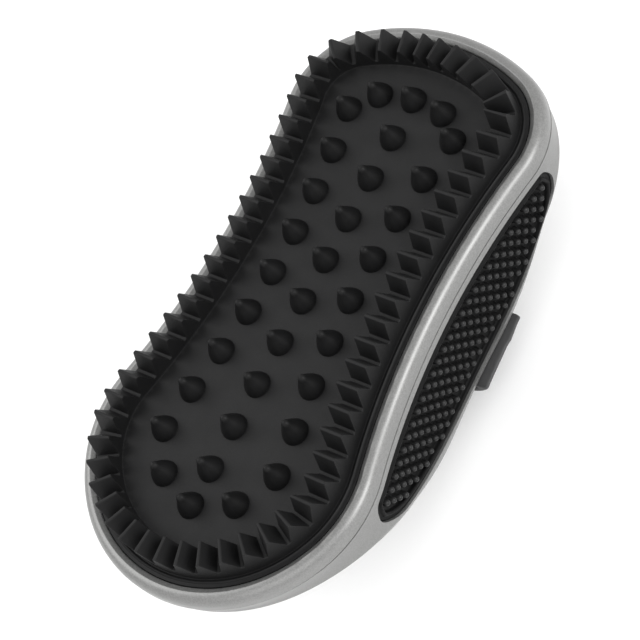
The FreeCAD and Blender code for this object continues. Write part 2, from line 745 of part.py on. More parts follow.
def strap_solid():
    """The strap over the back, its tails through the slots and the eyes round the pins."""
    across = (strap_start, strap_end)
    cover = dome_solid(-size("strap_gap") - size("strap_thick"))
    layer = cover.cut(dome_solid(-size("strap_gap")))
    strap = layer.common(span_box(across, (-FAR, FAR), (0, strap_high)))
    eye = size("pin_size") / 2 + size("eye_wall")
    tail = span_box(across, (size("pin_reach"), FAR), (strap_low, strap_high)).common(cover)
    round_end = Part.makeCylinder(eye, size("strap_width"),
                                  Vector(strap_start, size("pin_reach"), size("strap_height")),
                                  Vector(1, 0, 0))
    strap = strap.fuse(both_sides(tail) + both_sides(round_end))
    bore = Part.makeCylinder(size("pin_size") / 2 + size("fit_gap"), size("strap_width") + 2,
                             Vector(strap_start - 1, size("pin_reach"), size("strap_height")),
                             Vector(1, 0, 0))
    for tool in both_sides(bore):
        strap = strap.cut(tool)
    return strap


def screw_solid(x, y):
    """A pan head screw with a cross recess, upright with its head on top."""
    seat = level("head_level")
    shank = Part.makeCylinder(size("screw_size") / 2, size("screw_length"),
                              Vector(x, y, seat - size("screw_length")))
    head = Part.makeCylinder(size("head_width") / 2, size("head_height"), Vector(x, y, seat))
    rims = [edge for edge in head.Edges if abs(edge.BoundBox.ZMin - seat) > 1e-6
            and edge.BoundBox.ZLength < 1e-6]
    head = head.makeFillet(size("head_height") / 3, rims)
    slot = size("head_width") / 3
    top = seat + size("head_height")
    wide = size("head_height") / 2
    arms = [span_box((x - slot, x + slot), (y - wide / 2, y + wide / 2), (top - wide, top + 1)),
            span_box((x - wide / 2, x + wide / 2), (y - slot, y + slot), (top - wide, top + 1))]
    return head.fuse(shank).cut(arms[0]).cut(arms[1])


# ---------------------------------------------------------------- plate and bezel

def circles_sketch(body, name, height, width_formula, width):
    """A sketch with one bound circle at every screw place."""
    sketch = new_sketch(body, name, height)
    rows = [("Levels.screw_toe_x", level("screw_toe_x")),
            ("Sizes.screw_middle", size("screw_middle")),
            ("Levels.screw_heel_x", level("screw_heel_x"))]
    for formula, x in rows:
        for side in (1, -1):
            y = side * size("screw_spread")
            index = sketch.addGeometry(Part.Circle(Vector(x, y, 0), Vector(0, 0, 1), width / 2))
            ties = [(("Diameter", index, width), width_formula)]
            if x > 0:
                ties.append((("DistanceX", -1, 1, index, 3, x), formula))
            else:
                ties.append((("DistanceX", index, 3, -1, 1, -x), f"-({formula})"))
            if side > 0:
                ties.append((("DistanceY", -1, 1, index, 3, y), "Sizes.screw_spread"))
            else:
                ties.append((("DistanceY", index, 3, -1, 1, -y), "Sizes.screw_spread"))
            for arguments, tie in ties:
                place = sketch.addConstraint(Sketcher.Constraint(*arguments))
                sketch.setExpression(f"Constraints[{place}]", tie)
    return sketch


def backing_plate():
    """The plate under the pad, with a raised middle and six sunk screw holes."""
    body = new_body("backing_plate")
    pad_between(body, "plate_edge_pad", [("Levels.flange_inset", level("flange_inset"))],
                "Levels.plate_base", "Levels.flange_base")
    pad_between(body, "platform_pad", [("Sizes.platform_inset", size("platform_inset"))],
                "Levels.flange_base", "Levels.platform_level")
    hollow = new_sketch(body, "hollow_sketch", "Levels.plate_base")
    add_outline(hollow, "Levels.pocket_inset", level("pocket_inset"))
    pocket_down(body, "hollow", hollow, "Levels.plate_under - Levels.plate_base", upward=True)
    holes = circles_sketch(body, "screw_holes_sketch", "Levels.platform_level",
                           "Sizes.screw_size + 2 * Sizes.fit_gap",
                           size("screw_size") + 2 * size("fit_gap"))
    pocket_down(body, "screw_holes", holes, "Levels.platform_level - Levels.plate_under + 1")
    seats = circles_sketch(body, "head_seats_sketch", "Levels.platform_level",
                           "Sizes.head_width + 2 * Sizes.head_room",
                           size("head_width") + 2 * size("head_room"))
    pocket_down(body, "head_seats", seats, "Levels.platform_level - Levels.head_level")
    return body


def rim_edges(shape, inset, height):
    """Names of the edges that follow an outline at a height."""
    names = []
    arcs = outline_arcs(inset)
    for number, edge in enumerate(shape.Edges, start=1):
        box = edge.BoundBox
        if abs(box.ZMin - height) > 1e-5 or abs(box.ZMax - height) > 1e-5:
            continue
        middle = edge.valueAt((edge.FirstParameter + edge.LastParameter) / 2)
        place = Vector(middle.x, abs(middle.y), 0)
        for centre, radius, start, end in arcs:
            angle = heading(centre, place)
            if abs((place - centre).Length - radius) < 1e-3 and (
                    min(start, end) - 0.01 <= angle <= max(start, end) + 0.01):
                names.append(f"Edge{number}")
                break
    return names


def bezel_ring():
    """The silver bezel: an outer wall, a lip over the flange, and a snapping tongue."""
    body = new_body("bezel_ring")
    outer = ("0", 0)
    wall = ("Sizes.bezel_wall", size("bezel_wall"))
    pad_between(body, "wall_pad", [outer, wall], "Levels.joint_level", "Levels.crest_level")
    pad_between(body, "lip_pad", [outer, ("Sizes.bezel_width", size("bezel_width"))],
                "Levels.lip_level", "Levels.crest_level")
    pad_between(body, "tongue_pad", [("Sizes.tongue_inset", size("tongue_inset")), wall],
                "Levels.joint_level - Sizes.tongue_drop", "Levels.joint_level + Sizes.tongue_drop")
    pad_between(body, "snap_pad", [("Sizes.tongue_inset", size("tongue_inset")),
                                   ("Sizes.bezel_wall + Sizes.snap_reach",
                                    size("bezel_wall") + size("snap_reach"))],
                "Levels.joint_level - Sizes.tongue_drop", "Levels.joint_level")
    tip = body.Tip
    fillet = body.newObject("PartDesign::Fillet", "outer_round")
    fillet.Base = (tip, rim_edges(tip.Shape, 0, level("crest_level")))
    fillet.setExpression("Radius", "Sizes.bezel_round")
    doc.recompute()
    slope = body.newObject("PartDesign::Chamfer", "lip_slope")
    slope.Base = (fillet, rim_edges(fillet.Shape, size("bezel_width"), level("crest_level")))
    slope.ChamferType = "Two distances"
    slope.setExpression("Size", "Sizes.lip_drop")
    slope.setExpression("Size2", "Sizes.lip_width")
    doc.recompute()
    return body


def strap_pin(label, side):
    """A plain steel pin along the brush, as a bound cylinder."""
    pin = doc.addObject("Part::Cylinder", label)
    pin.Label = label
    pin.setExpression("Radius", "Sizes.pin_size / 2")
    pin.setExpression("Height", "Sizes.pin_length")
    pin.Placement = Placement(Vector(0, 0, 0), Rotation(Vector(0, 1, 0), 90))
    pin.setExpression("Placement.Base.x", "Sizes.waist_shift - Sizes.pin_length / 2")
    pin.setExpression("Placement.Base.y", f"{side} * Sizes.pin_reach")
    pin.setExpression("Placement.Base.z", "Sizes.strap_height")
    return pin


# ---------------------------------------------------------------- build, check and write

def build():
    """Make every sub-part."""
    left = grip_solid()
    right = left.mirror(Vector(0, 0, 0), Vector(0, 1, 0))
    washers = [copy for washer in washer_solids() for copy in both_sides(washer)]
    return [
        feature("rubber_pad", rubber_pad()),
        bezel_ring(),
        backing_plate(),
        feature("plate_screws", Part.makeCompound([screw_solid(x, y)
                                                   for x, y in screw_places()])),
        feature("handle_shell", handle_shell()),
        feature("grip_left", left),
        feature("grip_right", right),
        feature("grip_washers", Part.makeCompound(washers)),
        feature("hand_strap", strap_solid()),
        strap_pin("strap_pin_left", 1),
        strap_pin("strap_pin_right", -1),
    ]


def check(nodes):
    """Stop when a feature failed or a sub-part is not a sound solid."""
    for item in doc.Objects:
        if {"Invalid", "Error"} & set(item.State):
            raise ValueError(f"{item.Label} did not recompute")
    for node in nodes:
        shape = node.Shape
        if shape.isNull() or not shape.isValid() or not shape.Solids:
            raise ValueError(f"{node.Label} is not a sound solid")


nodes = build()
doc.recompute()
check(nodes)
os.makedirs("parts", exist_ok=True)
for node in nodes:
    node.Shape.exportStep(f"parts/{node.Label}.step")
    print(f"{node.Label}: {len(node.Shape.Solids)} solids, {node.Shape.Volume:.0f} mm3")
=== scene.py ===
"""Looks for a rubber curry brush that lies on its back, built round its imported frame.

Sizes in the classes are millimetres, as a maker would write them, and become metres where a
mesh is made.  +X runs to the narrow toe end, the wider heel is at -X, and +Z is up.
"""

import logging
import math
from dataclasses import dataclass
from enum import Enum

import bmesh
import bpy
from mathutils import Matrix, Vector
from mathutils.bvhtree import BVHTree

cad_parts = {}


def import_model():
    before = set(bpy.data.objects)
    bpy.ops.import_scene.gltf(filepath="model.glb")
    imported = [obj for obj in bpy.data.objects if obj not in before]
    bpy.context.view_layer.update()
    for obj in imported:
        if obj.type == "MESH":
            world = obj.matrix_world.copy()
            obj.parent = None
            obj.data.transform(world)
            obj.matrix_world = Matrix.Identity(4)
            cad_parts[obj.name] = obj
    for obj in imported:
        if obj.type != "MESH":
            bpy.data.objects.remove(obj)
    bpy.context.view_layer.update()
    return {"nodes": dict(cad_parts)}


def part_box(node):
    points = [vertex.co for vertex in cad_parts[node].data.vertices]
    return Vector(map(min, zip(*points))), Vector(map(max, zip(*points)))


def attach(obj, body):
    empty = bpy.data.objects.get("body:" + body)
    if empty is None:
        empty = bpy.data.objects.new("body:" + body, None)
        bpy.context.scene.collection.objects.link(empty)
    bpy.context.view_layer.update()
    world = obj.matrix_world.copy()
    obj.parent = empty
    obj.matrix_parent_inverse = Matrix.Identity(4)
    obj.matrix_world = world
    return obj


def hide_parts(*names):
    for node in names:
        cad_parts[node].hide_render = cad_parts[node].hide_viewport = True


MM = 0.001
BODY = "root"
FACE_WEIGHT = 70
SEAM_HEEL, SEAM_RUN, SEAM_LEAST = -72.0, 26.0, 0.08  # mm, mm and share of the full seam
log = logging.getLogger("curry_brush")

Ring = list[Vector]
Pairs = list[tuple[float, float]]
Triple = tuple[float, float, float]
VectorPair = tuple[Vector, Vector]
Piece = bpy.types.Object
Finish = bpy.types.Material
Socket = bpy.types.NodeSocket


class Side(Enum):
    """The two long sides of the brush."""

    LEFT = 1
    RIGHT = -1


# ---- bench tools

def deselect_all() -> None:
    """Leave nothing selected and nothing active."""
    if bpy.context.object and bpy.context.object.mode != "OBJECT":
        bpy.ops.object.mode_set(mode="OBJECT")
    bpy.ops.object.select_all(action="DESELECT")
    bpy.context.view_layer.objects.active = None


def pick(piece: Piece) -> None:
    """Select one piece alone and make it the active one."""
    deselect_all()
    piece.select_set(True)
    bpy.context.view_layer.objects.active = piece


def skin_rings(name: str, rings: list[Ring], fill_start: bool = False,
               fill_end: bool = False) -> Piece:
    """Extrude a ring of edges through a row of rings.

    Args:
        name: Name of the new piece.
        rings: Rings of equally many points, in millimetres.
        fill_start: Close the first ring with a face.
        fill_end: Close the last ring with a face.

    Returns:
        The new piece, with its doubles merged and its faces pointing outwards.
    """
    deselect_all()
    bpy.ops.mesh.primitive_circle_add(vertices=len(rings[0]), radius=1.0)
    piece = bpy.context.object
    piece.name = name
    piece.data.name = name
    marks = piece.data.attributes.new("place", "INT", "POINT")
    marks.data.foreach_set("value", list(range(len(rings[0]))))
    bpy.ops.object.mode_set(mode="EDIT")
    bpy.ops.mesh.select_mode(type="VERT")
    bpy.ops.mesh.select_all(action="SELECT")
    for number, ring in enumerate(rings):
        if number:
            bpy.ops.mesh.extrude_edges_move()
        places = [point * MM for point in ring]
        mesh = bmesh.from_edit_mesh(piece.data)
        layer = mesh.verts.layers.int["place"]
        for vertex in mesh.verts:
            if vertex.select:
                vertex.co = places[vertex[layer]]
        bmesh.update_edit_mesh(piece.data)
        if fill_start and number == 0:
            bpy.ops.mesh.edge_face_add()
            mesh = bmesh.from_edit_mesh(piece.data)
            for face in mesh.faces:
                face.select_set(False)
            for edge in mesh.edges:
                edge.select_set(True)
            bmesh.update_edit_mesh(piece.data)
    if fill_end:
        bpy.ops.mesh.edge_face_add()
    close_mesh()
    bpy.ops.object.mode_set(mode="OBJECT")
    piece.data.attributes.remove(piece.data.attributes["place"])
    return piece


def close_mesh(gap: float = 2e-6) -> None:
    """Merge doubles and turn all faces of the mesh in edit mode outwards."""
    bpy.ops.mesh.select_all(action="SELECT")
    bpy.ops.mesh.remove_doubles(threshold=gap)
    bpy.ops.mesh.normals_make_consistent(inside=False)


def turn_profile(name: str, profile: Pairs, segments: int) -> Piece:
    """Turn a profile round the Z axis and close it with a pole at its top.

    Args:
        name: Name of the new piece.
        profile: Radius and height pairs from the foot up, in millimetres.
        segments: Number of sides.

    Returns:
        The turned piece, standing at the origin.
    """
    deselect_all()
    first_radius, first_height = profile[0]
    bpy.ops.mesh.primitive_circle_add(vertices=segments, radius=first_radius * MM,
                                      location=(0, 0, first_height * MM))
    piece = bpy.context.object
    piece.name = name
    bpy.ops.object.transform_apply(location=True, rotation=True, scale=True)
    bpy.ops.object.mode_set(mode="EDIT")
    bpy.ops.mesh.select_all(action="SELECT")
    radius, height = first_radius, first_height
    for next_radius, next_height in profile[1:]:
        bpy.ops.mesh.extrude_edges_move()
        bpy.ops.transform.translate(value=(0, 0, (next_height - height) * MM))
        share = max(next_radius, 1e-4) / radius
        bpy.ops.transform.resize(value=(share, share, 1.0),
                                 center_override=(0, 0, next_height * MM))
        radius, height = max(next_radius, 1e-4), next_height
    bpy.ops.mesh.merge(type="CENTER")
    close_mesh(1e-7)
    bpy.ops.object.mode_set(mode="OBJECT")
    return piece


def scatter(name: str, pattern: Piece, places: list[Matrix]) -> Piece:
    """Put copies of a pattern at many places, as one piece, and throw the pattern away."""
    copies = []
    for place in places:
        twin = pattern.copy()
        twin.data = pattern.data.copy()
        twin.data.transform(place)
        bpy.context.collection.objects.link(twin)
        copies.append(twin)
    bpy.data.objects.remove(pattern, do_unlink=True)
    pick(copies[0])
    for twin in copies:
        twin.select_set(True)
    bpy.ops.object.join()
    joined = bpy.context.object
    joined.name = name
    joined.data.name = name
    return joined


def carve(piece: Piece, tool: Piece) -> None:
    """Cut a tool out of a piece and throw the tool away."""
    pick(piece)
    bpy.ops.object.modifier_add(type="BOOLEAN")
    modifier = piece.modifiers[-1]
    modifier.operation = "DIFFERENCE"
    modifier.solver = "EXACT"
    modifier.object = tool
    bpy.ops.object.modifier_apply(modifier=modifier.name)
    bpy.data.objects.remove(tool, do_unlink=True)


def smooth(piece: Piece, degrees: float, weighted: bool = False) -> None:
    """Shade a piece smooth apart from sharper edges, and even out its broad faces if asked."""
    pick(piece)
    bpy.ops.object.shade_smooth_by_angle(angle=math.radians(degrees))
    if weighted:
        bpy.ops.object.modifier_add(type="WEIGHTED_NORMAL")
        modifier = piece.modifiers[-1]
        modifier.keep_sharp = True
        modifier.weight = FACE_WEIGHT
        bpy.ops.object.modifier_apply(modifier=modifier.name)


def dress(piece: Piece, finish: Finish, slot: str, *nodes: str) -> None:
    """Give a piece its finish and its body, and hide the frame nodes it stands for."""
    piece.data.materials.clear()
    piece.data.materials.append(finish)
    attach(piece, BODY)
    if nodes:
        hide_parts(*nodes)
    log.info("%s: %d faces", piece.name, len(piece.data.polygons))


# ---- finishes

class Graph:
    """A material's node tree with short ways to add and join nodes."""

    def __init__(self, name: str) -> None:
        """Start a material with a plain Principled shader."""
        self.material = bpy.data.materials.new(name)
        self.material.use_nodes = True
        self.tree = self.material.node_tree
        self.shader = self.tree.nodes["Principled BSDF"]
        self.coords = self.add("ShaderNodeTexCoord").outputs["Object"]

    def add(self, kind: str, **values: object) -> bpy.types.Node:
        """Add a node and set the named properties on it."""
        node = self.tree.nodes.new(kind)
        for key, value in values.items():
            setattr(node, key, value)
        return node

    def join(self, source: Socket, target: Socket) -> None:
        """Join an output to an input."""
        self.tree.links.new(source, target)

    def feed(self, socket: str, source: Socket) -> None:
        """Join an output to one of the shader's inputs."""
        self.join(source, self.shader.inputs[socket])

    def fix(self, socket: str, value: float) -> None:
        """Set one of the shader's inputs to a constant."""
        self.shader.inputs[socket].default_value = value

    def stretched(self, scale: Triple) -> Socket:
        """Object coordinates scaled along each axis."""
        mapping = self.add("ShaderNodeMapping")
        mapping.inputs["Scale"].default_value = scale
        self.join(self.coords, mapping.inputs["Vector"])
        return mapping.outputs["Vector"]

    def noise(self, scale: float, detail: float = 3.0, rough: float = 0.55,
              coords: Socket | None = None) -> Socket:
        """A noise pattern with a number of cycles per metre."""
        node = self.add("ShaderNodeTexNoise")
        node.inputs["Scale"].default_value = scale
        node.inputs["Detail"].default_value = detail
        node.inputs["Roughness"].default_value = rough
        self.join(coords or self.coords, node.inputs["Vector"])
        return node.outputs["Fac"]

    def ramp(self, source: Socket, low: float, high: float,
             low_value: float, high_value: float) -> Socket:
        """Map a range of a pattern onto a range of values."""
        node = self.add("ShaderNodeMapRange")
        for key, value in (("From Min", low), ("From Max", high), ("To Min", low_value),
                           ("To Max", high_value)):
            node.inputs[key].default_value = value
        self.join(source, node.inputs["Value"])
        return node.outputs["Result"]

    def blend(self, share: Socket, first: Triple, second: Triple) -> Socket:
        """Mix two colours by a pattern."""
        node = self.add("ShaderNodeMix", data_type="RGBA")
        self.join(share, node.inputs["Factor"])
        node.inputs["A"].default_value = (*first, 1.0)
        node.inputs["B"].default_value = (*second, 1.0)
        return node.outputs["Result"]

    def bump(self, height: Socket, depth: float, strength: float,
             below: Socket | None = None) -> Socket:
        """A bump from a pattern, on top of another bump if one is given."""
        node = self.add("ShaderNodeBump")
        node.inputs["Distance"].default_value = depth
        node.inputs["Strength"].default_value = strength
        self.join(height, node.inputs["Height"])
        if below is not None:
            self.join(below, node.inputs["Normal"])
        return node.outputs["Normal"]


@dataclass(frozen=True)
class Rubber:
    """Moulded rubber: fine mould grain and soft mottling."""

    name: str
    dark: Triple
    light: Triple
    rough_low: float
    rough_high: float
    grain: float = 5200.0
    grain_depth: float = 0.00003
    specular: float = 0.4

    def make(self) -> Finish:
        """Build the material."""
        graph = Graph(self.name)
        mottle = graph.noise(140.0, 4.0)
        speck = graph.noise(self.grain, 2.0)
        soft = graph.bump(graph.noise(420.0, 2.0), 0.0001, 0.15)
        graph.feed("Base Color", graph.blend(graph.ramp(mottle, 0.35, 0.65, 0.0, 1.0),
                                             self.dark, self.light))
        graph.feed("Roughness", graph.ramp(speck, 0.3, 0.7, self.rough_low, self.rough_high))
        graph.feed("Normal", graph.bump(speck, self.grain_depth, 0.6, soft))
        graph.fix("Specular IOR Level", self.specular)
        return graph.material


@dataclass(frozen=True)
class SilverPaint:
    """Satin silver paint on moulded plastic: fine flakes under a thin clear coat."""

    name: str = "satin_silver_paint"
    dark: Triple = (0.172, 0.172, 0.169)
    light: Triple = (0.216, 0.216, 0.212)
    metallic: float = 0.55
    flake: float = 3800.0
    coat: float = 0.12
    coat_roughness: float = 0.3

    def make(self) -> Finish:
        """Build the material."""
        graph = Graph(self.name)
        cells = graph.add("ShaderNodeTexVoronoi")
        cells.inputs["Scale"].default_value = self.flake
        graph.join(graph.coords, cells.inputs["Vector"])
        grey = graph.add("ShaderNodeRGBToBW")
        graph.join(cells.outputs["Color"], grey.inputs["Color"])
        glitter = grey.outputs["Val"]
        cloud = graph.noise(60.0, 3.0)
        graph.feed("Base Color", graph.blend(graph.ramp(glitter, 0.2, 0.8, 0.0, 1.0),
                                             self.dark, self.light))
        roughness = graph.add("ShaderNodeMath", operation="ADD")
        graph.join(graph.ramp(glitter, 0.0, 1.0, -0.05, 0.05), roughness.inputs[0])
        graph.join(graph.ramp(cloud, 0.3, 0.7, 0.36, 0.44), roughness.inputs[1])
        graph.feed("Roughness", roughness.outputs[0])
        peel = graph.bump(graph.noise(900.0, 2.0), 0.00002, 0.25)
        graph.feed("Normal", graph.bump(glitter, 0.000006, 0.35, peel))
        graph.fix("Metallic", self.metallic)
        graph.fix("Coat Weight", self.coat)
        graph.fix("Coat Roughness", self.coat_roughness)
        return graph.material


@dataclass(frozen=True)
class ZincSteel:
    """Zinc plated steel with fine drawing marks along one axis."""

    name: str = "zinc_plated_steel"
    along: Triple = (60.0, 1500.0, 1500.0)

    def make(self) -> Finish:
        """Build the material."""
        graph = Graph(self.name)
        marks = graph.noise(1.0, 3.0, coords=graph.stretched(self.along))
        stain = graph.noise(300.0, 3.0)
        graph.feed("Base Color", graph.blend(graph.ramp(stain, 0.3, 0.7, 0.0, 1.0),
                                             (0.50, 0.51, 0.52), (0.66, 0.66, 0.63)))
        graph.feed("Roughness", graph.ramp(marks, 0.3, 0.7, 0.24, 0.42))
        graph.feed("Normal", graph.bump(marks, 0.00001, 0.4))
        graph.fix("Metallic", 1.0)
        return graph.material


@dataclass(frozen=True)
class InnerPlastic:
    """Plain dark plastic of the parts inside, with faint flow lines."""

    name: str = "plain_inner_plastic"

    def make(self) -> Finish:
        """Build the material."""
        graph = Graph(self.name)
        flow = graph.noise(1.0, 4.0, coords=graph.stretched((30.0, 160.0, 160.0)))
        graph.feed("Base Color", graph.blend(flow, (0.010, 0.010, 0.011), (0.022, 0.022, 0.024)))
        graph.feed("Roughness", graph.ramp(flow, 0.3, 0.7, 0.40, 0.58))
        graph.feed("Normal", graph.bump(graph.noise(2600.0, 2.0), 0.00002, 0.4))
        return graph.material


@dataclass(frozen=True)
class StudioPaper:
    """White studio paper with a trace of tooth."""

    name: str = "studio_paper"
    light: float = 0.93

    def make(self) -> Finish:
        """Build the material."""
        graph = Graph(self.name)
        tooth = graph.noise(700.0, 3.0)
        graph.feed("Base Color", graph.blend(tooth, (self.light - 0.01,) * 3, (self.light,) * 3))
        graph.feed("Roughness", graph.ramp(tooth, 0.0, 1.0, 0.85, 0.95))
        graph.fix("Specular IOR Level", 0.1)
        return graph.material


PAD_RUBBER = Rubber("pad_rubber", (0.0024, 0.0024, 0.0026), (0.0040, 0.0040, 0.0042),
                    0.56, 0.70, specular=0.28)
# The cones are the pad's own rubber; this darker copy paints the shade on their sides.
CONE_RUBBER_PAINTED_SHADE = Rubber("cone_rubber_painted_shade", (0.0015, 0.0015, 0.0016), (0.0026, 0.0026, 0.0028),
                     0.48, 0.62, specular=0.22)
# The grip sheet and the nubs are one rubber; this darker copy for the sheet paints the shade in
# the sunk field between the nubs.
GRIP_RUBBER_PAINTED_SHADE = Rubber("grip_rubber", (0.0006, 0.0006, 0.0007), (0.0012, 0.0012, 0.0013),
                     0.46, 0.60, specular=0.12)
# Lighter copy of the same grip rubber for the nubs: painted light on the nub tips.
NUB_RUBBER_PAINTED_LIGHT = Rubber("nub_rubber_painted_light", (0.0026, 0.0026, 0.0028), (0.0042, 0.0042, 0.0044),
                    0.38, 0.52, specular=0.36)
STRAP_RUBBER = Rubber("strap_rubber", (0.038, 0.038, 0.0390), (0.050, 0.050, 0.0510),
                      0.46, 0.58, grain=2600.0, specular=0.35)


# ---- plan outline

@dataclass(frozen=True)
class Outline:
    """The hourglass plan of the brush: five tangent arcs on each long side."""

    half_length: float
    waist_half: float = 35.3
    waist_shift: float = 15.6
    waist_radius: float = 193.8
    toe_radius: float = 61.9
    toe_corner: float = 22.9
    heel_radius: float = 43.6
    heel_corner: float = 34.3

    def centres(self) -> list[Vector]:
        """Centres of the toe, toe corner, waist, heel corner and heel arcs, +Y side."""
        toe = Vector((self.half_length - self.toe_radius, 0, 0))
        heel = Vector((self.heel_radius - self.half_length, 0, 0))
        waist = Vector((self.waist_shift, self.waist_half + self.waist_radius, 0))

        def between(end: Vector, end_radius: float, corner: float, sign: int) -> Vector:
            near = end_radius - corner
            far = self.waist_radius + corner
            gap = waist - end
            along = (near ** 2 - far ** 2 + gap.length ** 2) / (2 * gap.length)
            across = math.sqrt(near ** 2 - along ** 2)
            unit = gap.normalized()
            return end + unit * along + Vector((-unit.y, unit.x, 0)) * across * sign

        return [toe, between(toe, self.toe_radius, self.toe_corner, -1), waist,
                between(heel, self.heel_radius, self.heel_corner, 1), heel]

    def arcs(self, inset: float = 0.0) -> list[tuple[Vector, float, float, float]]:
        """The five +Y arcs of an inset outline as centre, radius, start and end angle."""
        toe, toe_corner, waist, heel_corner, heel = self.centres()

        def heading(start: Vector, end: Vector) -> float:
            return math.atan2(end.y - start.y, end.x - start.x)

        return [
            (toe, self.toe_radius - inset, 0.0, heading(toe, toe_corner)),
            (toe_corner, self.toe_corner - inset, heading(toe, toe_corner),
             heading(toe_corner, waist)),
            (waist, self.waist_radius + inset, heading(waist, toe_corner),
             heading(waist, heel_corner)),
            (heel_corner, self.heel_corner - inset, heading(heel_corner, waist),
             heading(heel, heel_corner)),
            (heel, self.heel_radius - inset, heading(heel, heel_corner), math.pi)]

    def stations(self, count: int) -> list[VectorPair]:
        """Points and outward directions round the whole outline.

        Args:
            count: Even number of stations, the first at the toe tip.

        Returns:
            Pairs of a place on the outline and its outward unit direction.
        """
        arcs = self.arcs()
        lengths = [radius * abs(end - start) for _, radius, start, end in arcs]
        half = count // 2
        side = []
        for index in range(half + 1):
            travel = sum(lengths) * index / half
            for number, (centre, radius, start, end) in enumerate(arcs):
                if travel <= lengths[number] or number == len(arcs) - 1:
                    share = min(travel / lengths[number], 1.0)
                    angle = start + (end - start) * share
                    out = Vector((math.cos(angle), math.sin(angle), 0))
                    side.append((centre + out * radius, out if number != 2 else -out))
                    break
                travel -= lengths[number]
        mirrored = [(flip(place), flip(out)) for place, out in side[-2:0:-1]]
        return side + mirrored

    def ray(self, inset: float, start: Vector, direction: Vector) -> Vector:
        """Where a ray from the middle crosses an inset outline on the +Y side."""
        best, place = -1.0, start
        for centre, radius, first, last in self.arcs(inset):
            gap = start - centre
            along = gap.dot(direction)
            inside = along ** 2 - gap.length_squared + radius ** 2
            if inside < 0:
                continue
            for sign in (-1, 1):
                travel = -along + sign * math.sqrt(inside)
                point = start + direction * travel
                angle = math.atan2(point.y - centre.y, point.x - centre.x)
                if travel > best and min(first, last) - 1e-6 <= angle <= max(first, last) + 1e-6:
                    best, place = travel, point
        return place

    def snap(self, inset: float, point: Vector) -> VectorPair:
        """The nearest place of an inset outline on the +Y side, and its outward direction."""
        best = None
        for number, (centre, radius, first, last) in enumerate(self.arcs(inset)):
            out = (point - centre).normalized()
            angle = math.atan2(out.y, out.x)
            low, high = min(first, last), max(first, last)
            angle = min(max(angle, low), high)
            out = Vector((math.cos(angle), math.sin(angle), 0))
            place = centre + out * radius
            gap = (place - point).length
            if best is None or gap < best[0]:
                best = (gap, place, out if number != 2 else -out)
        return best[1], best[2]


def flip(point: Vector) -> Vector:
    """A point's mirror image across the middle line."""
    return Vector((point.x, -point.y, point.z))


def lift(point: Vector, height: float) -> Vector:
    """A plan point at a height."""
    return Vector((point.x, point.y, height))


def seam_share(x: float) -> float:
    """How open the parting line is, 0 round the heel and 1 from the waist to the toe."""
    share = min(max((x - SEAM_HEEL) / SEAM_RUN, SEAM_LEAST), 1.0)
    return share * share * (3 - 2 * share)


# ---- rubber pad

